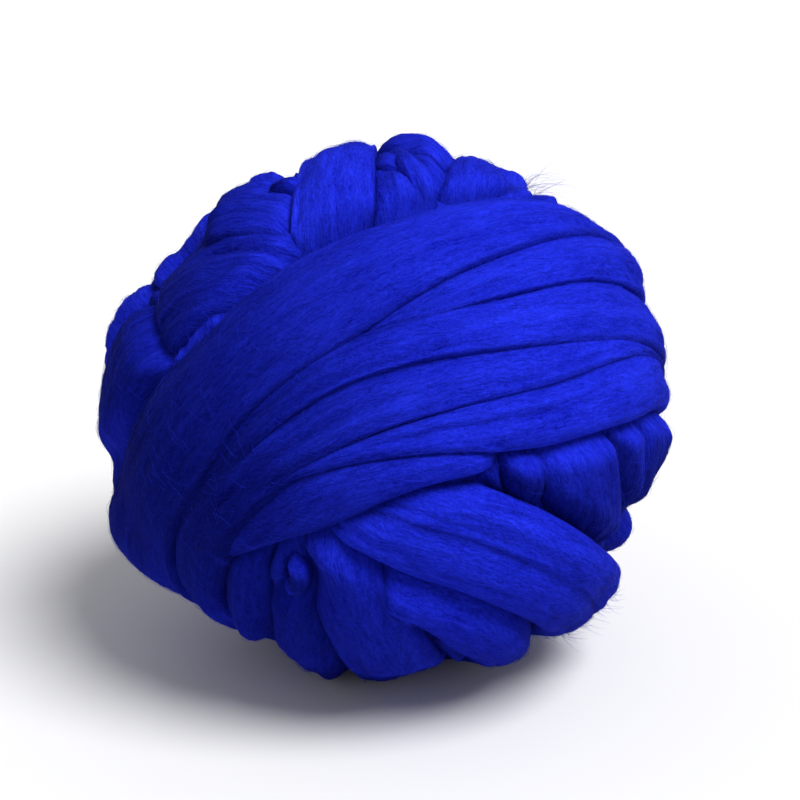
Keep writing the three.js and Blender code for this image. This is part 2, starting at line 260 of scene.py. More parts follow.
def crests_of(turn, directions):
    """How high a turn's top is in each direction before it is pressed, and how strongly it covers."""
    length = turn["finish"] - turn["begin"]
    middle = (turn["begin"] + turn["finish"]) / 2
    angle = np.arctan2(directions @ turn["quarter"], directions @ turn["start"])
    place = ((angle - middle + math.pi) % math.tau - math.pi) / length + 0.5
    side = np.radians(column(turn, "sides", place))
    aside = np.arcsin(np.clip(directions @ turn["up"], -1, 1)) - side
    across = aside * BALL_RADIUS / np.hypot(1, slope_of(turn, place))
    half_width = np.maximum(column(turn, "widths", place), NARROWEST) / 2
    share = across / half_width
    present = present_at(turn, place)
    crest = (column(turn, "rises", place) - turn["lean"] * share
             - edge_drop(half_width, np.clip(share, -1, 1)) - TUCK_DEPTH * (1 - present))
    crest = np.where((np.abs(share) < 1) & (present > 0), crest, NOTHING)
    cover = present * (1 - ease(-PRESS_INSIDE, PRESS_OUTSIDE, np.abs(across) - half_width))
    return crest, cover * turn["press"]


front = direction_to(-90, 0)[None, :]
at_front = {turn["name"]: round(float(crests_of(turn, front)[0][0]), 1) for turn in TURNS}
print("turns that pass the front, and their tops in mm:",
      {name: crest for name, crest in at_front.items() if crest > NOTHING})

# %% [markdown]
# Wool is soft, so a strand that was wound on later presses in the ones under it. A simulation could
# press them together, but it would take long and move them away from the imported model. Here each
# point is pressed in by the later turn that covers it most. The floor then flattens a small spot.

# %% Press the layers together and set the ball on its flat spot
ALMOST_LEVEL = -1e-6


def others_at(own, directions):
    """How strongly later turns press on a turn in each direction, and the highest other crests."""
    crests, covers, layers = [], [], []
    for turn in TURNS:
        crest, cover = crests_of(turn, directions)
        crests.append(crest)
        covers.append(cover)
        layers.append(turn["layer"])
    layers = np.array(layers)
    covers = np.array(covers)
    pressed = {layer: covers[layers > layer].max(0, initial=0) for layer in set(layers.tolist())}
    heights = [crest - PRESS_DEPTH * pressed[layer] for crest, layer in zip(crests, layers.tolist())]
    heights = np.array(heights)
    apart = np.array([turn is not own for turn in TURNS])
    beside = apart & (layers == own["layer"])
    return pressed[own["layer"]], heights[apart].max(0), heights[beside].max(0, initial=NOTHING)


def on_ball(directions, radius):
    """Points in metres at a radius in millimetres, none of them below the floor."""
    points = directions * radius[:, None]
    points[:, 2] *= SQUASH
    downward = np.minimum(points[:, 2], ALMOST_LEVEL)
    to_plane = np.where(points[:, 2] < 0, -BALL_MIDDLE / downward, np.inf)
    points *= np.minimum(to_plane, 1)[:, None]
    points[:, 2] = np.maximum(points[:, 2] + BALL_MIDDLE, 0)
    return points * MM


print("there are", len({turn["layer"] for turn in TURNS}), "layers")

# %% [markdown]
# Soft pleats run along a strand: each one wanders a little and fades in and out, as combed fibres
# bunch when they are pulled round a ball. A bump in the material could draw them, but pleats this
# size show at the outline, so they are made as shape. Whole waves round the turn let it close. The
# long creases of a wide turn come from its own row.

# %% Make the pleats and creases
PLEAT_SPACING = 4.2
PLEAT_DEPTH = 1.0
FEWEST_PLEATS = 3
PLEAT_WANDER = 0.10
PLEAT_WANDER_WAVES = 5
PLEAT_REACHES = (0.35, 1.0)
PLEAT_REACH_CHANGE = 0.3
PLEAT_REACH_WAVES = 3
PLEAT_LEAST_REACH = 0.05
PLEAT_STRENGTHS = (0.3, 1)
PLEAT_FADE = (-0.3, 0.9)
PLEAT_FADE_WAVES = 7
CREASE_WIDTH = 1.7
CREASE_FADE = 0.3


def wandering(random, angle, waves, size):
    """A slow random curve round the turn, made of whole waves."""
    total = np.zeros(np.shape(angle))
    for wave in range(1, waves + 1):
        total += random.normal() / math.sqrt(waves) * np.sin(wave * angle + random.uniform(0, math.tau))
    return size * total


def pleats_at(random, share, angle, width):
    """How deep the pleats are at each point of a turn, in millimetres."""
    count = max(FEWEST_PLEATS, int(round(np.mean(width) / PLEAT_SPACING)))
    depth = np.zeros(share.shape)
    for pleat in range(count * 2):
        middle = random.uniform(-1, 1) + wandering(random, angle, PLEAT_WANDER_WAVES, PLEAT_WANDER)
        reach = random.uniform(*PLEAT_REACHES) * 2 / count
        reach = reach * (1 + PLEAT_REACH_CHANGE * wandering(random, angle, PLEAT_REACH_WAVES, 1))
        strength = random.uniform(*PLEAT_STRENGTHS)
        strength = strength * ease(*PLEAT_FADE, wandering(random, angle, PLEAT_FADE_WAVES, 1.0))
        nearness = np.clip(np.abs(share - middle) / np.maximum(reach, PLEAT_LEAST_REACH), 0, 1)
        depth += strength * (1 - nearness) ** 2 * (1 + 2 * nearness)
    return PLEAT_DEPTH * depth


def creases_at(turn, share, place, width):
    """How deep the long soft creases of a turn are, in millimetres."""
    depth = np.zeros(share.shape)
    for middle, begin, finish, deepest in turn["creases"]:
        along = (place - begin) / (finish - begin)
        fade = ease(0, CREASE_FADE, along) * (1 - ease(1 - CREASE_FADE, 1, along))
        off = (share - middle) * width[:, None] / 2 / CREASE_WIDTH
        depth += deepest * fade * np.exp(-(off ** 2))
    return depth


print(sum(len(turn["creases"]) for turn in TURNS), "long creases in all")

# %% [markdown]
# One turn of the strand is a long flattened roll of fibres. It could be a curve with a bevel, but a
# bevel can't change its section where another strand presses on it. So a turn is a grid of points:
# each row is a ring round the strand, with many points on top, crowded towards the edges where the
# strand curves most, and a few points underneath. The edges of the roll wander a little.

# %% Lay out the grid of one turn
SECTION_STEP = 2.6
FEWEST_RINGS = 12
TOP_POINTS = 32
UNDER_POINTS = 4
EDGE_CROWDING = 0.45
EDGE_WANDER = 0.05
EDGE_WAVES = 9


def section():
    """Where the points of a ring lie across the strand, and how far underneath each one is."""
    top_angle = np.linspace(-math.pi / 2, math.pi / 2, TOP_POINTS)
    top_share = EDGE_CROWDING * np.sin(top_angle) + (1 - EDGE_CROWDING) * top_angle / (math.pi / 2)
    under_angle = np.linspace(math.pi / 2, -math.pi / 2, UNDER_POINTS + 2)[1:-1]
    share = np.concatenate((top_share, np.sin(under_angle)))
    return share, np.concatenate((np.zeros(TOP_POINTS), np.cos(under_angle)))


def grid_of(turn, random):
    """The rings of a turn: their places and widths, and the direction of each of their points."""
    side_mean = math.radians(np.mean(turn["sides"]))
    length = (turn["finish"] - turn["begin"]) * BALL_RADIUS * math.cos(side_mean)
    rings = max(FEWEST_RINGS, int(length / SECTION_STEP))
    place = np.arange(rings) / rings if turn["closed"] else np.linspace(0, 1, rings)
    angle = turn["begin"] + place * (turn["finish"] - turn["begin"])
    side = np.radians(column(turn, "sides", place))
    half_width = np.maximum(column(turn, "widths", place), NARROWEST) / 2
    half_width = half_width * (1 + wandering(random, angle, EDGE_WAVES, EDGE_WANDER))
    stretch = np.hypot(1, slope_of(turn, place))
    share, under = section()
    share_grid, place_grid = np.meshgrid(share, place)
    angle_grid = np.repeat(angle[:, None], len(share), 1)
    height = side[:, None] + share_grid * (half_width * stretch)[:, None] / BALL_RADIUS
    directions = (
        (np.cos(height) * np.cos(angle_grid))[..., None] * turn["start"]
        + (np.cos(height) * np.sin(angle_grid))[..., None] * turn["quarter"]
        + np.sin(height)[..., None] * turn["up"]
    ).reshape(-1, 3)
    return dict(rings=rings, per_ring=len(share), place=place, half_width=half_width,
                share_grid=share_grid, place_grid=place_grid, angle_grid=angle_grid,
                under_grid=np.repeat(under[None, :], rings, 0), directions=directions)


print("a ring has", len(section()[0]), "points")

# %% [markdown]
# Each point of the grid now moves out to the strand's surface. Where two turns meet, both dip into
# a groove, because soft wool gives way at its edges. Strands of one layer that lie side by side also
# fill the gap between them a little, as they do where they are pulled tight. The helper also says
# where a turn shows, which the fibres need later, and how deep in a groove or crease it lies, which
# sets the painted shade that darkens the colour there.

# %% Shape the surface of one turn
UNDER_DEPTH = 6.0
GROOVE_DEPTH = 0.8
GROOVE_REACH = 2.4
MELD_REACH = 4.5
MELD_SHARE = 0.75
MELD_MOST = 2.5
PLEATLESS_EDGE = 6
SHOWING = (-0.8, 0.4)
DARK_CREASE_DEPTH = 3


def surface_of(turn, grid, random):
    """The points of a turn in metres, where it shows, and how deep in a groove it lies."""
    share_grid, under_grid, half_width = grid["share_grid"], grid["under_grid"], grid["half_width"]
    directions = grid["directions"]
    drop = edge_drop(half_width[:, None], share_grid)
    present = present_at(turn, grid["place"])
    rise = column(turn, "rises", grid["place"])
    pressed, others, beside = others_at(turn, directions)
    plain = rise[:, None] - turn["lean"] * share_grid - drop - TUCK_DEPTH * (1 - present)[:, None]
    plain = plain.reshape(-1) - PRESS_DEPTH * pressed
    near = 1 - ease(0, MELD_REACH, np.abs(plain - beside))
    meld = near * np.minimum(MELD_SHARE * drop.reshape(-1), MELD_MOST)
    top = (under_grid == 0).reshape(-1)
    groove = 1 - ease(0, GROOVE_REACH, plain - others)
    creases = creases_at(turn, share_grid, grid["place_grid"], half_width * 2).reshape(-1)
    pleats = pleats_at(random, share_grid, grid["angle_grid"], half_width * 2)
    pleats = pleats * (1 - np.abs(share_grid) ** PLEATLESS_EDGE)
    below = UNDER_DEPTH * under_grid + (EDGE_DROP - drop) * (under_grid > 0)
    radius = BALL_RADIUS + plain + meld + swell_at(directions) - below.reshape(-1)
    radius -= top * (pleats.reshape(-1) + GROOVE_DEPTH * groove + creases)
    shows = top * ease(*SHOWING, plain - others)
    # How deep a point lies in a groove or crease is kept for the colour: it sets painted shade there.
    return on_ball(directions, radius), shows, np.maximum(groove, creases / DARK_CREASE_DEPTH)


print("grooves are", GROOVE_DEPTH, "mm deep and creases up to",
      max(row[3] for turn in TURNS for row in turn["creases"]), "mm")

# %% [markdown]
# The grid becomes a mesh: four neighbours make a face, a closed turn joins its last ring to its
# first, and an open one gets a cap at each end. The mesh keeps some values for each point. Its place
# in the strand and the flow of its fibres let the material and the loose fibres follow the strand.

# %% Make the turns
FIRST_TURN_SEED = 100
SHORTEST_FLOW = 1e-9


def store(mesh, name, kind, values):
    """Keeps one value or vector for each point of a mesh under a name."""
    field = {"FLOAT": "value", "FLOAT_VECTOR": "vector"}[kind]
    mesh.attributes.new(name, kind, "POINT").data.foreach_set(field, values.astype(np.float32).ravel())


def added(name, data):
    """A new object in the scene, made of a mesh, a light or a camera."""
    item = bpy.data.objects.new(name, data)
    bpy.context.scene.collection.objects.link(item)
    return item


def new_piece(name, corners, faces):
    """A smooth mesh object in the scene."""
    mesh = bpy.data.meshes.new(name)
    mesh.from_pydata(corners.tolist(), [], faces)
    mesh.shade_smooth()
    return added(name, mesh)


def faces_of(turn, rings, per_ring):
    """The faces between the rings of a turn, and the caps of an open one."""
    ring_count = rings if turn["closed"] else rings - 1
    ring = np.arange(ring_count)[:, None] * per_ring
    following = (np.arange(ring_count)[:, None] + 1) % rings * per_ring
    here = np.arange(per_ring)[None, :]
    there = (here + 1) % per_ring
    quads = np.stack((ring + here, following + here, following + there, ring + there), -1)
    faces = quads.reshape(-1, 4).tolist()
    if not turn["closed"]:
        faces.append(list(range(per_ring)))
        faces.append(list(range((rings - 1) * per_ring, rings * per_ring))[::-1])
    return faces


def flow_of(turn, points):
    """The direction of the fibres at each point of a grid of rings."""
    if turn["closed"]:
        flow = np.roll(points, -1, 0) - np.roll(points, 1, 0)
    else:
        flow = np.gradient(points, axis=0)
    return flow / np.maximum(np.linalg.norm(flow, axis=-1, keepdims=True), SHORTEST_FLOW)


def make_turn(turn, index):
    """One turn of the strand as a closed mesh."""
    random = np.random.default_rng(FIRST_TURN_SEED + index)
    grid = grid_of(turn, random)
    points, shows, groove = surface_of(turn, grid, random)
    rings, per_ring = grid["rings"], grid["per_ring"]
    piece = new_piece(turn["name"], points, faces_of(turn, rings, per_ring))
    across = (grid["share_grid"] * grid["half_width"][:, None]).reshape(-1)
    turned = np.stack((np.cos(grid["angle_grid"]), np.sin(grid["angle_grid"])), -1)
    turned = turned.reshape(-1, 2) * BALL_RADIUS
    flow = flow_of(turn, points.reshape(rings, per_ring, 3)).reshape(-1, 3)
    store(piece.data, "strand_place", "FLOAT_VECTOR", np.column_stack((turned, across)) * MM + index)
    store(piece.data, "flow", "FLOAT_VECTOR", flow)
    store(piece.data, "shows", "FLOAT", shows)
    store(piece.data, "groove", "FLOAT", groove)
    return piece


turn_pieces = [make_turn(turn, index) for index, turn in enumerate(TURNS)]
print("the turns have", sum(len(piece.data.polygons) for piece in turn_pieces), "faces")

# %% [markdown]
# The heart of the ball is the wool that the turns cover. Strands all the way through would fill it
# as well, but nobody would see them. One smooth ball is enough, so that no gap opens into nothing.

# %% Make the heart
HEART_RINGS = 60
HEART_STEPS = 90


def make_heart():
    """A smooth ball of rings, with a point at its bottom and one at its top."""
    height = np.linspace(-math.pi / 2, math.pi / 2, HEART_RINGS + 2)[1:-1]
    angle = np.arange(HEART_STEPS) / HEART_STEPS * math.tau
    h, a = np.meshgrid(height, angle, indexing="ij")
    directions = np.stack((np.cos(h) * np.cos(a), np.cos(h) * np.sin(a), np.sin(h)), -1)
    directions = np.vstack((directions.reshape(-1, 3), [[0, 0, -1], [0, 0, 1]]))
    points = on_ball(directions, BALL_RADIUS - HEART_DEPTH + swell_at(directions))
    ring = np.arange(HEART_RINGS - 1)[:, None] * HEART_STEPS
    here = np.arange(HEART_STEPS)[None, :]
    there = (here + 1) % HEART_STEPS
    quads = (ring + here, ring + there, ring + HEART_STEPS + there, ring + HEART_STEPS + here)
    faces = np.stack(quads, -1).reshape(-1, 4).tolist()
    lowest = HEART_RINGS * HEART_STEPS
    highest = lowest + 1
    last = (HEART_RINGS - 1) * HEART_STEPS
    for step in range(HEART_STEPS):
        following = (step + 1) % HEART_STEPS
        faces.append([lowest, following, step])
        faces.append([highest, last + step, last + following])
    piece = new_piece("heart", points, faces)
    store(piece.data, "strand_place", "FLOAT_VECTOR", points)
    # The whole heart counts as deep in a groove, so its colour gets the full painted shade.
    store(piece.data, "groove", "FLOAT", np.ones(len(points)))
    return piece


heart = make_heart()
print("the heart has", sum(len(face.vertices) - 2 for face in heart.data.polygons), "triangles")

# %% [markdown]
# Materials and loose fibres are both made of nodes. They could be placed by hand in the editor, but
# short helpers make them again from the script: one adds a node with its settings and its inputs, and
# the others add a rule of numbers or of vectors.

# %% Add nodes in one line
def add_node(tree, kind, inputs=(), **settings):
    """One node with its settings, and its inputs as sockets or plain values."""
    node = tree.nodes.new(kind)
    for name, value in settings.items():
        setattr(node, name, value)
    for socket, value in dict(inputs).items():
        if isinstance(value, bpy.types.NodeSocket):
            tree.links.new(value, node.inputs[socket])
        else:
            node.inputs[socket].default_value = value
    return node


def number(tree, kind, *values):
    """A rule of numbers, such as a sum."""
    return add_node(tree, "ShaderNodeMath", dict(enumerate(values)), operation=kind).outputs[0]


def vector(tree, kind, *values):
    """A rule of vectors."""
    return add_node(tree, "ShaderNodeVectorMath", dict(enumerate(values)), operation=kind).outputs[0]


def scale(tree, value, size):
    """A vector or a colour times a number."""
    return add_node(tree, "ShaderNodeVectorMath", {0: value, "Scale": size}, operation="SCALE").outputs[0]


def new_material(name, roughness, shine):
    """A new material and its main shader."""
    material = bpy.data.materials.new(name)
    material.use_nodes = True
    surface = material.node_tree.nodes["Principled BSDF"]
    surface.inputs["Roughness"].default_value = roughness
    surface.inputs["Specular IOR Level"].default_value = shine
    return material, surface


# %% [markdown]
# A combed fibre is lit from its side and looks dark where it points to the light. A smooth surface
# doesn't do that by itself, and a hair shader needs millions of real hairs. So the colour of the wool
# is lowered by how far its fibres point to the main light, from the flow that the meshes keep.

# %% Shade the fibres that point to the light
KEY_COMPASS = -40
KEY_HEIGHT = 58
POINTING_SHADE = 0.7


def pointing_shade(tree):
    """How much of its colour wool keeps where its fibres point to the light."""
    flow = add_node(tree, "ShaderNodeAttribute", attribute_name="flow").outputs["Vector"]
    pointing = add_node(tree, "ShaderNodeVectorMath", {0: flow, 1: direction_to(KEY_COMPASS, KEY_HEIGHT)},
                        operation="DOT_PRODUCT").outputs["Value"]
    return number(tree, "MULTIPLY_ADD", number(tree, "MULTIPLY", pointing, pointing), -POINTING_SHADE, 1)


print("fibres that point to the main light keep", round(1 - POINTING_SHADE, 2), "of their colour")

# %% [markdown]
# Dyed wool is one deep blue. Its look comes from thousands of fibres that run along the strand: some
# catch the light and some lie in shade. A photograph of wool would bring its own light with it, so
# the material draws the fibres as noise, stretched along the strand in the strand's own coordinates.
# The same noise gives the colour and a fine relief, and a soft sheen stands for the finest down.

# %% Make the wool material
DARK_BLUE = (0.0013, 0.0022, 0.20)
LIGHT_BLUE = (0.014, 0.028, 0.64)
SHEEN_BLUE = (0.25, 0.4, 1, 1)
GROOVE_SHADE = 0.30
WOOL_ROUGHNESS = 0.85
WOOL_SHINE = 0.01
WOOL_SHEEN = 0.01
SHEEN_ROUGHNESS = 0.45
NOISE_ROUGHNESS = 0.6
BEND = dict(stretch=(90, 90, 90), detail=2.0)
BEND_SIZE = 0.003
STRAND_NOISES = dict(
    fine=dict(stretch=(350, 350, 2200), detail=3.0),
    middling=dict(stretch=(70, 70, 700), detail=3.0),
    broad=dict(stretch=(18, 18, 220), detail=2.0),
)
PLAIN_NOISES = dict(
    grain=dict(stretch=(1100, 1100, 1100), detail=2.0),
    cloud=dict(stretch=(45, 45, 45), detail=2.0),
)
TONE_SHARES = dict(fine=1.0, middling=0.7, broad=0.6, cloud=0.5, grain=0.7)
TONE_MIDDLE = 1.25
RELIEF_SHARES = dict(fine=0.35, middling=0.7, broad=1.4, grain=0.25)
RELIEF_DEPTH = 0.0012
RELIEF_STRENGTH = 0.8


def noise(tree, place, stretch, detail):
    """A noise texture, finer in one direction than in another where its stretch says so."""
    return add_node(tree, "ShaderNodeTexNoise",
                    {"Vector": vector(tree, "MULTIPLY", place, stretch), "Scale": 1.0, "Detail": detail,
                     "Roughness": NOISE_ROUGHNESS})


def mixed(tree, parts, shares):
    """The sum of some parts, each times its share."""
    total = None
    for name, share in shares.items():
        part = number(tree, "MULTIPLY", parts[name], share)
        total = part if total is None else number(tree, "ADD", total, part)
    return total


def fibre_noises(tree):
    """The noises along the strand, which bends a little, and those that have no direction."""
    place = add_node(tree, "ShaderNodeTexCoord").outputs["Object"]
    strand = add_node(tree, "ShaderNodeAttribute", attribute_name="strand_place").outputs["Vector"]
    bend = noise(tree, place, **BEND).outputs["Color"]
    bent = vector(tree, "MULTIPLY_ADD", bend, (0, 0, BEND_SIZE), strand)
    parts = {name: noise(tree, bent, **row).outputs["Fac"] for name, row in STRAND_NOISES.items()}
    parts.update({name: noise(tree, place, **row).outputs["Fac"] for name, row in PLAIN_NOISES.items()})
    return parts


def wool(name):
    """The material of the strand."""
    material, surface = new_material(name, WOOL_ROUGHNESS, WOOL_SHINE)
    surface.inputs["Sheen Weight"].default_value = WOOL_SHEEN
    surface.inputs["Sheen Roughness"].default_value = SHEEN_ROUGHNESS
    surface.inputs["Sheen Tint"].default_value = SHEEN_BLUE

    tree = material.node_tree
    parts = fibre_noises(tree)
    tone = number(tree, "SUBTRACT", mixed(tree, parts, TONE_SHARES), TONE_MIDDLE)
    blue = add_node(tree, "ShaderNodeMix", {"A": (*DARK_BLUE, 1), "B": (*LIGHT_BLUE, 1), "Factor": tone},
                    data_type="RGBA").outputs["Result"]
    # Painted shade: the colour is darker in grooves and creases, where shade falls between turns, and on
    # the whole heart.
    groove = add_node(tree, "ShaderNodeAttribute", attribute_name="groove").outputs["Fac"]
    painted_groove_shade = number(tree, "SUBTRACT", 1, number(tree, "MULTIPLY", groove, GROOVE_SHADE))
    shade = number(tree, "MULTIPLY", painted_groove_shade, pointing_shade(tree))
    tree.links.new(scale(tree, blue, shade), surface.inputs["Base Color"])

    bump = add_node(tree, "ShaderNodeBump", {"Distance": RELIEF_DEPTH, "Strength": RELIEF_STRENGTH,
                                             "Height": mixed(tree, parts, RELIEF_SHARES)})
    tree.links.new(bump.outputs["Normal"], surface.inputs["Normal"])
    return material


strand_wool = wool("strand_wool")
print("the wool runs from", DARK_BLUE, "to", LIGHT_BLUE, "in", len(strand_wool.node_tree.nodes), "nodes")

# %% [markdown]
# Loose fibres lie over every turn and blur its edges. A hair system would follow the surface too, but
# Geometry Nodes leave a plain mesh that every program can read. A group of nodes is a small program
# with inputs of its own, so that the same group makes each kind of fibre.

# %% Start the group of the fibres
def random_between(tree, low, high, later):
    """A random number for each point, from the group's seed and a number added to it."""
    seed = number(tree, "ADD", given["Seed"], later)
    return add_node(tree, "FunctionNodeRandomValue", {2: low, 3: high, "Seed": seed},
                    data_type="FLOAT").outputs[1]


def attribute(tree, name, kind):
    """A value that the geometry keeps under a name."""
    return add_node(tree, "GeometryNodeInputNamedAttribute", {"Name": name},
                    data_type=kind).outputs["Attribute"]


fibres = bpy.data.node_groups.new("loose_fibres", "GeometryNodeTree")
for name, kind in dict(Geometry="Geometry", Density="Float", Length="Float", Thickness="Float",
                       Spread="Float", Lift="Float", Stray="Float", Seed="Int",
                       Material="Material").items():
    fibres.interface.new_socket(name, in_out="INPUT", socket_type="NodeSocket" + kind)
fibres.interface.new_socket("Geometry", in_out="OUTPUT", socket_type="NodeSocketGeometry")
given = fibres.nodes.new("NodeGroupInput").outputs
print("the group takes", ", ".join(socket.name for socket in given if socket.name))

# %% [markdown]
# A fibre starts as a short straight line. Lines are scattered where a turn shows, and each one is
# turned along the strand, with a random lean to either side. Each gets a random number of its own,
# which later gives it its own bends.

# %% Scatter short lines over the wool
FIBRE_POINTS = 5
FIBRE_LENGTHS = (0.4, 1.4)
LEAN_SEEDS = (0, 50)
LENGTH_SEED = 100
OWN_SEED = 150
OWN_MOST = 900.0


def scattered_lines(tree):
    """Short lines where the wool shows, turned along it."""
    density = number(tree, "MULTIPLY", given["Density"], attribute(tree, "shows", "FLOAT"))
    scattered = add_node(tree, "GeometryNodeDistributePointsOnFaces",
                         {"Mesh": given["Geometry"], "Density": density, "Seed": given["Seed"]})
    flow = attribute(tree, "flow", "FLOAT_VECTOR")
    side = vector(tree, "CROSS_PRODUCT", scattered.outputs["Normal"], flow)
    leaning = number(tree, "ADD", *(random_between(tree, -1.0, 1.0, seed) for seed in LEAN_SEEDS))
    turned = number(tree, "MULTIPLY", leaning, given["Spread"])
    along = vector(tree, "ADD", scale(tree, flow, number(tree, "COSINE", turned)),
                   scale(tree, side, number(tree, "SINE", turned)))
    facing = add_node(tree, "FunctionNodeAlignRotationToVector", {"Vector": along}, axis="X")
    line = add_node(tree, "GeometryNodeCurvePrimitiveLine", {"Start": (-0.5, 0, 0), "End": (0.5, 0, 0)})
    line = add_node(tree, "GeometryNodeResampleCurve",
                    {"Curve": line.outputs["Curve"], "Count": FIBRE_POINTS})
    length = number(tree, "MULTIPLY", random_between(tree, *FIBRE_LENGTHS, LENGTH_SEED), given["Length"])
    placed = add_node(tree, "GeometryNodeInstanceOnPoints",
                      {"Points": scattered.outputs["Points"], "Instance": line.outputs["Curve"],
                       "Rotation": facing.outputs["Rotation"], "Scale": length})
    marked = add_node(tree, "GeometryNodeStoreNamedAttribute",
                      {"Geometry": placed.outputs["Instances"], "Name": "own",
                       "Value": random_between(tree, 0.0, OWN_MOST, OWN_SEED)},
                      data_type="FLOAT", domain="INSTANCE")
    return add_node(tree, "GeometryNodeRealizeInstances",
                    {"Geometry": marked.outputs["Geometry"]}).outputs["Geometry"]


lines = scattered_lines(fibres)
print("scattering lines takes", len(fibres.nodes), "nodes")

# %% [markdown]
# A straight line over a round strand would cut into it. So each point of a line strays a little,
# drops onto the nearest wool and then lifts off it by an amount that changes along the fibre, here
# and there to just below the surface. No fibre goes below the floor.

# %% Lay the lines on the wool
WAVER_FINENESS = 110.0
WAVER_MIDDLE = (0.5, 0.5, 0.5)
RISE_FINENESS = 160.0
RISE_SEED = 7.0
RISE_MIDDLE = 0.35
RISE_RANGE = 3.0
STRAY_RANGE = 2.0
FIBRE_CLEARANCE = 0.0004


def laid_lines(tree, lines):
    """The lines laid on the wool, with their direction kept as flow."""
    where = add_node(tree, "GeometryNodeInputPosition").outputs["Position"]
    own = attribute(tree, "own", "FLOAT")
    waver = add_node(tree, "ShaderNodeTexNoise",
                     {"Vector": scale(tree, where, WAVER_FINENESS), "W": own, "Scale": 1.0,
                      "Detail": 1.0}, noise_dimensions="4D")
    aside = vector(tree, "SUBTRACT", waver.outputs["Color"], WAVER_MIDDLE)
    aside = scale(tree, aside, number(tree, "MULTIPLY", given["Stray"], STRAY_RANGE))
    nearest = add_node(tree, "GeometryNodeProximity",
                       {"Geometry": given["Geometry"],
                        "Sample Position": vector(tree, "ADD", where, aside)},
                       target_element="FACES").outputs["Position"]
    from_middle = vector(tree, "SUBTRACT", nearest, (0, 0, BALL_MIDDLE * MM))
    rise = add_node(tree, "ShaderNodeTexNoise",
                    {"Vector": scale(tree, where, RISE_FINENESS), "Scale": 1.0, "Detail": 0.0,
                     "W": number(tree, "ADD", own, RISE_SEED)}, noise_dimensions="4D").outputs["Fac"]
    off = number(tree, "MULTIPLY", number(tree, "SUBTRACT", rise, RISE_MIDDLE),
                 number(tree, "MULTIPLY", given["Lift"], RISE_RANGE))
    lifted = vector(tree, "ADD", nearest, scale(tree, vector(tree, "NORMALIZE", from_middle), off))
    above_floor = vector(tree, "MAXIMUM", lifted, (-1, -1, FIBRE_CLEARANCE))
    lain = add_node(tree, "GeometryNodeSetPosition", {"Geometry": lines, "Position": above_floor})
    return add_node(tree, "GeometryNodeStoreNamedAttribute",
                    {"Geometry": lain.outputs["Geometry"], "Name": "flow",
                     "Value": add_node(tree, "GeometryNodeInputTangent").outputs["Tangent"]},
                    data_type="FLOAT_VECTOR", domain="POINT").outputs["Geometry"]


laid = laid_lines(fibres, lines)
print("fibres stay", round(FIBRE_CLEARANCE / MM, 2), "mm or more above the floor")

# %% [markdown]
# A line has no thickness, so a thin tube runs along each. Three sides are enough for a fibre that
# is thinner than a pixel. It gets slender towards both ends, as a combed fibre does.

# %% Make tubes of the lines
TUBE_SIDES = 3
TIP_THICKNESS = 0.3
TIP_SHARPNESS = 3.0


def thin_tubes(tree, curves):
    """Tubes along curves, in the material that the group is given."""
    share = add_node(tree, "GeometryNodeSplineParameter").outputs["Factor"]
    from_middle = number(tree, "ABSOLUTE", number(tree, "MULTIPLY_ADD", share, 2, -1))
    fullness = number(tree, "SUBTRACT", 1, number(tree, "POWER", from_middle, TIP_SHARPNESS))
    fullness = number(tree, "MULTIPLY_ADD", fullness, 1 - TIP_THICKNESS, TIP_THICKNESS)
    radius = number(tree, "MULTIPLY", fullness, number(tree, "MULTIPLY", given["Thickness"], 0.5))
    ring = add_node(tree, "GeometryNodeCurvePrimitiveCircle", {"Resolution": TUBE_SIDES, "Radius": 1.0})
    tubes = add_node(tree, "GeometryNodeCurveToMesh",
                     {"Curve": curves, "Profile Curve": ring.outputs["Curve"], "Scale": radius,
                      "Fill Caps": True})
    smooth = add_node(tree, "GeometryNodeSetShadeSmooth", {"Geometry": tubes.outputs["Mesh"]})
    painted = add_node(tree, "GeometryNodeSetMaterial",
                       {"Geometry": smooth.outputs["Geometry"], "Material": given["Material"]})
    add_node(tree, "NodeGroupOutput", {"Geometry": painted.outputs["Geometry"]})


thin_tubes(fibres, laid)
print("the whole group has", len(fibres.nodes), "nodes")

# %% [markdown]
# The fibres are wool too, only lighter than most of the strand behind them, so their material has
# one colour and the same shading by direction. They are scattered over all turns at once, for which
# the turns are copied into one mesh.

# %% Join the turns into one ground for the fibres
FIBRE_BLUE = (0.011, 0.022, 0.50)
FIBRE_ROUGHNESS = 0.7
FIBRE_SHINE = 0.03


def fibre_wool(name):
    """The material of the loose fibres."""
    material, surface = new_material(name, FIBRE_ROUGHNESS, FIBRE_SHINE)
    tree = material.node_tree
    tree.links.new(scale(tree, FIBRE_BLUE, pointing_shade(tree)), surface.inputs["Base Color"])
    return material


def read_all(collection, field, width):
    """One field of every item of a mesh as an array."""
    values = np.empty(len(collection) * width, np.float32)
    collection.foreach_get(field, values)
    return values.reshape(-1, width)


def joined(name, pieces):
    """One mesh object made of copies of several, with the values they keep for each point."""
    corners, faces, flows, shows = [], [], [], []
    start = 0
    for mesh in (piece.data for piece in pieces):
        corners.append(read_all(mesh.vertices, "co", 3))
        flows.append(read_all(mesh.attributes["flow"].data, "vector", 3))
        shows.append(read_all(mesh.attributes["shows"].data, "value", 1))
        faces += [[corner + start for corner in face.vertices] for face in mesh.polygons]
        start += len(mesh.vertices)
    whole = bpy.data.meshes.new(name)
    whole.from_pydata(np.vstack(corners).tolist(), [], faces)
    store(whole, "flow", "FLOAT_VECTOR", np.vstack(flows))
    store(whole, "shows", "FLOAT", np.concatenate(shows))
    return added(name, whole)


loose_wool = fibre_wool("loose_wool")
ground = joined("ground", turn_pieces)
print("the ground of the fibres has", len(ground.data.vertices), "points")

# %% [markdown]
# A larger share of the fibres lies along the strand, and a smaller one crosses it and stands off.
# All those that lie along it would be too many triangles for one piece, so they are two. Their
# sizes are in metres. The modifier is turned into a plain mesh, which needs no nodes any more.

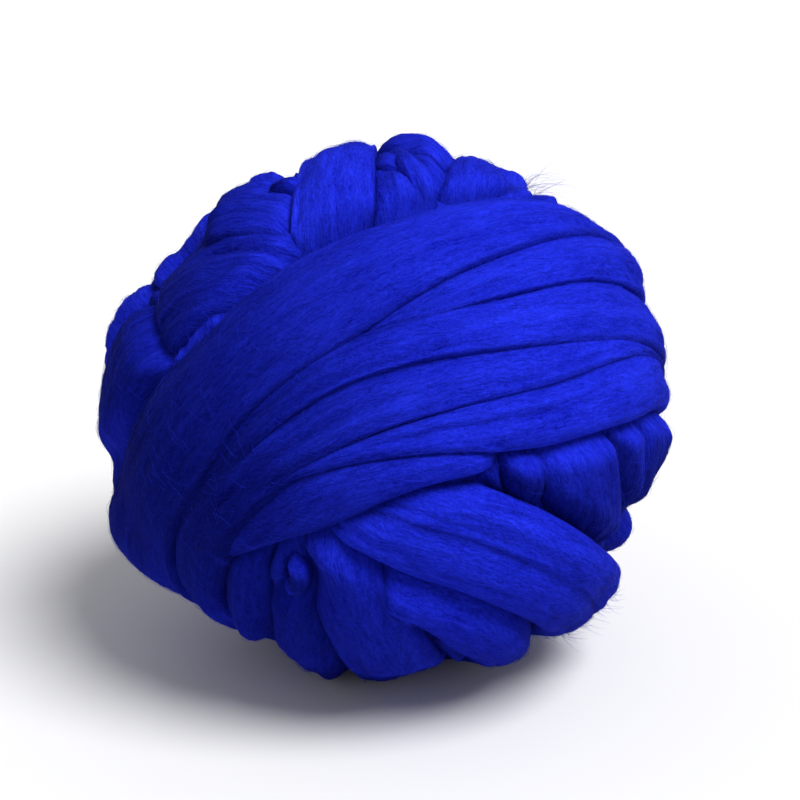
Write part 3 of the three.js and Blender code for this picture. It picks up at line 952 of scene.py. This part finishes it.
# %% Make the loose fibres
FIBRE_KINDS = [
    dict(name="lying_fibres_1", count=6800, length=0.012, thickness=0.00009, spread=0.30,
         lift=0.0003, stray=0.0014, seed=1),
    dict(name="lying_fibres_2", count=6800, length=0.010, thickness=0.00008, spread=0.45,
         lift=0.0004, stray=0.0016, seed=2),
    dict(name="crossing_fibres", count=6800, length=0.008, thickness=0.00007, spread=1.1,
         lift=0.0010, stray=0.0024, seed=3),
]
SHOWN_AREA = 0.12


def make_fibres(kind):
    """One kind of loose fibres as a plain mesh."""
    piece = added(kind["name"], ground.data)
    modifier = piece.modifiers.new("fibres", "NODES")
    modifier.node_group = fibres
    inputs = (item for item in fibres.interface.items_tree if item.in_out == "INPUT")
    identifiers = {item.name: item.identifier for item in inputs}
    modifier[identifiers["Density"]] = kind["count"] / SHOWN_AREA
    modifier[identifiers["Material"]] = loose_wool
    for name in ("Length", "Thickness", "Spread", "Lift", "Stray", "Seed"):
        modifier[identifiers[name]] = kind[name.lower()]
    evaluated = piece.evaluated_get(bpy.context.evaluated_depsgraph_get())
    mesh = bpy.data.meshes.new_from_object(evaluated)
    mesh.name = kind["name"]
    piece.modifiers.clear()
    piece.data = mesh
    mesh.calc_loop_triangles()
    print(kind["name"], len(mesh.loop_triangles), "triangles")
    return piece


fibre_pieces = [make_fibres(kind) for kind in FIBRE_KINDS]

# %% [markdown]
# In a few places a wisp has come loose: a small tuft of fibres that starts in the wool, stands off it
# and bends over. It doesn't follow the surface, so it is made point by point. A row gives the compass
# angle and height of its place, how many degrees round that place the fibres start, where they point
# and bend to, their greatest length in millimetres and their number.

# %% Make the loose wisps
WISPS = [
    dict(name="wisp_1", compass=27, height=51, reach=3, points=(0.45, 0.25, 0.8), bends=(0.7, 0, -0.6),
         length=10, fibres=40),
    dict(name="wisp_2", compass=180, height=1, reach=3, points=(-0.8, 0, -0.4), bends=(0.2, 0, -0.7),
         length=4, fibres=30),
    dict(name="wisp_3", compass=-21, height=-45, reach=10, points=(0.6, -0.2, -0.6), bends=(0.4, 0, 0.3),
         length=6, fibres=90),
]
FIRST_WISP_SEED = 400
WISP_THICKNESS = 0.11
WISP_POINTS = 7
WISP_SHORTEST = 0.3
WISP_STRAY = 0.3
WISP_TAPER = 0.7
WISP_STARTS_WHERE_SHOWN = 0.5


def unit(vectors):
    """The same vectors with a length of one."""
    return vectors / np.linalg.norm(vectors, axis=-1, keepdims=True)


def wisp_lines(row, random, corners, shows):
    """The bent middle lines of a wisp's fibres."""
    count = row["fibres"]
    outward = unit(corners - [0, 0, BALL_MIDDLE * MM])
    closeness = outward @ direction_to(row["compass"], row["height"])
    near = (closeness > math.cos(math.radians(row["reach"]))) & (shows > WISP_STARTS_WHERE_SHOWN)
    roots = corners[random.choice(np.flatnonzero(near), count)]
    share = np.linspace(0, 1, WISP_POINTS)[None, :, None]
    length = random.uniform(WISP_SHORTEST, 1, (count, 1, 1)) * row["length"] * MM
    points = (np.array(row["points"]) + random.normal(0, WISP_STRAY, (count, 3)))[:, None]
    bends = (np.array(row["bends"]) + random.normal(0, WISP_STRAY, (count, 3)))[:, None]
    return roots[:, None] + length * (share * points + share ** 2 * bends)


def wisp_faces(count):
    """The sides and the two caps of each fibre."""
    first = np.arange(count)[:, None, None] * WISP_POINTS * TUBE_SIDES
    here = first + np.arange(WISP_POINTS - 1)[None, :, None] * TUBE_SIDES
    now = np.arange(TUBE_SIDES)[None, None, :]
    following = (now + 1) % TUBE_SIDES
    beyond = here + TUBE_SIDES
    quads = np.stack((here + now, here + following, beyond + following, beyond + now), -1)
    last = first[:, 0] + (WISP_POINTS - 1) * TUBE_SIDES
    ring = np.arange(TUBE_SIDES)
    return quads.reshape(-1, 4).tolist() + (first[:, 0] + ring[::-1]).tolist() + (last + ring).tolist()


def make_wisp(row, seed, corners, shows):
    """One loose wisp as a mesh of thin bent fibres."""
    line = wisp_lines(row, np.random.default_rng(seed), corners, shows)
    along = unit(np.gradient(line, axis=1))
    side = unit(np.cross(along, (0, 1, 0)))
    above = np.cross(along, side)
    share = np.linspace(0, 1, WISP_POINTS)[None, :, None]
    thick = (WISP_THICKNESS * MM / 2 * (1 - WISP_TAPER * share))[..., None]
    corner = np.arange(TUBE_SIDES) / TUBE_SIDES * math.tau
    ring = np.cos(corner)[:, None] * side[:, :, None] + np.sin(corner)[:, None] * above[:, :, None]
    tube = line[:, :, None] + thick * ring
    piece = new_piece(row["name"], tube.reshape(-1, 3), wisp_faces(row["fibres"]))
    store(piece.data, "flow", "FLOAT_VECTOR", np.repeat(along.reshape(-1, 3), TUBE_SIDES, 0))
    piece.data.materials.append(loose_wool)
    return piece


ground_mesh = ground.data
ground_corners = np.array([corner.co for corner in ground_mesh.vertices])
ground_shows = np.array([value.value for value in ground_mesh.attributes["shows"].data])
wisps = [make_wisp(row, FIRST_WISP_SEED + index, ground_corners, ground_shows)
         for index, row in enumerate(WISPS)]
print(len(wisps), "wisps with", sum(row["fibres"] for row in WISPS), "fibres")
bpy.data.objects.remove(ground)
bpy.data.meshes.remove(ground_mesh)

# %% [markdown]
# Every piece now joins the frame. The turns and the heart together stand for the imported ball, because
# they have its form, only finer. The fibres and wisps are additions that ride with it.

# %% Join the pieces to the frame
for piece in (*turn_pieces, heart):
    piece.data.materials.append(strand_wool)
for piece in (*turn_pieces, heart, *fibre_pieces, *wisps):
    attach(piece, "root")
for piece in (*turn_pieces, heart):
    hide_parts("yarn_ball")
print(len(turn_pieces) + 1, "pieces stand for the ball, and", len(fibre_pieces) + len(wisps), "lie on it")

# %% [markdown]
# The camera looks down a little, as the photograph does. It is aimed so that the middle of the ball
# comes out at the same pixel as there, which is slightly left of and below the picture's middle.

# %% Place the camera
ELEVATION = math.radians(20)
DISTANCE = 0.62
LENS = 83.0
PICTURE = 800
SENSOR = 36.0
BALL_PIXEL = (386, 410)
focal = LENS / SENSOR * PICTURE
middle = Vector((0, 0, BALL_MIDDLE * MM))
look = Vector((0, math.cos(ELEVATION), -math.sin(ELEVATION)))
right = Vector((1, 0, 0))
above = right.cross(look)
aim = middle + right * ((PICTURE / 2 - BALL_PIXEL[0]) / focal * DISTANCE) + above * (
    (BALL_PIXEL[1] - PICTURE / 2) / focal * DISTANCE)
camera_data = bpy.data.cameras.new("camera")
camera_data.lens = LENS
camera_data.sensor_width = SENSOR
camera = added("camera", camera_data)
camera.location = aim - look * DISTANCE
camera.rotation_euler = look.to_track_quat("-Z", "Y").to_euler()
bpy.context.scene.camera = camera
print("the camera is at", [round(value, 3) for value in camera.location])

# %% [markdown]
# The ball rests on a pale floor that reaches so far that no edge of it shows. It is not attached to
# the ball's frame, because it is no part of the ball.

# %% Lay the floor
FLOOR_REACH = 60.0
FLOOR_GREY = (0.6, 0.6, 0.61, 1)
FLOOR_ROUGHNESS = 0.9
FLOOR_SHINE = 0.5
floor_corners = [(-FLOOR_REACH, -FLOOR_REACH, 0), (FLOOR_REACH, -FLOOR_REACH, 0),
                 (FLOOR_REACH, FLOOR_REACH, 0), (-FLOOR_REACH, FLOOR_REACH, 0)]
floor_mesh = bpy.data.meshes.new("floor")
floor_mesh.from_pydata(floor_corners, [], [(0, 1, 2, 3)])
floor = added("floor", floor_mesh)
floor_paint, floor_surface = new_material("pale_floor", FLOOR_ROUGHNESS, FLOOR_SHINE)
floor_surface.inputs["Base Color"].default_value = FLOOR_GREY
floor_mesh.materials.append(floor_paint)
print("the floor is", 2 * FLOOR_REACH, "m wide")

# %% [markdown]
# One wide soft light from the front, above and to the right of the ball gives the strands their
# bright and dark sides, and a white sky fills the shade. An area lamp would do as well, but a sun
# lights the ball evenly from any distance. The sky gives less light than the camera sees in it, so
# that it looks as white as the floor. The plain view transform keeps the blue as deep as it is.

# %% Place the light
KEY_ENERGY = 4.4
KEY_SOFTNESS = math.radians(30)
SKY_STRENGTH = 0.55
key = bpy.data.lights.new("key", "SUN")
key.energy = KEY_ENERGY
key.angle = KEY_SOFTNESS
key_object = added("key", key)
towards_key = Vector(direction_to(KEY_COMPASS, KEY_HEIGHT))
key_object.rotation_euler = towards_key.to_track_quat("Z", "Y").to_euler()
world = bpy.data.worlds.new("studio")
bpy.context.scene.world = world
world.use_nodes = True
sky = world.node_tree.nodes["Background"]
sky.inputs["Color"].default_value = (1, 1, 1, 1)
seen = add_node(world.node_tree, "ShaderNodeLightPath").outputs["Is Camera Ray"]
strength = number(world.node_tree, "MULTIPLY_ADD", seen, 1 - SKY_STRENGTH, SKY_STRENGTH)
world.node_tree.links.new(strength, sky.inputs["Strength"])
bpy.context.scene.view_settings.view_transform = "Standard"
print("the key light stands", KEY_HEIGHT, "degrees up and the sky gives", SKY_STRENGTH)
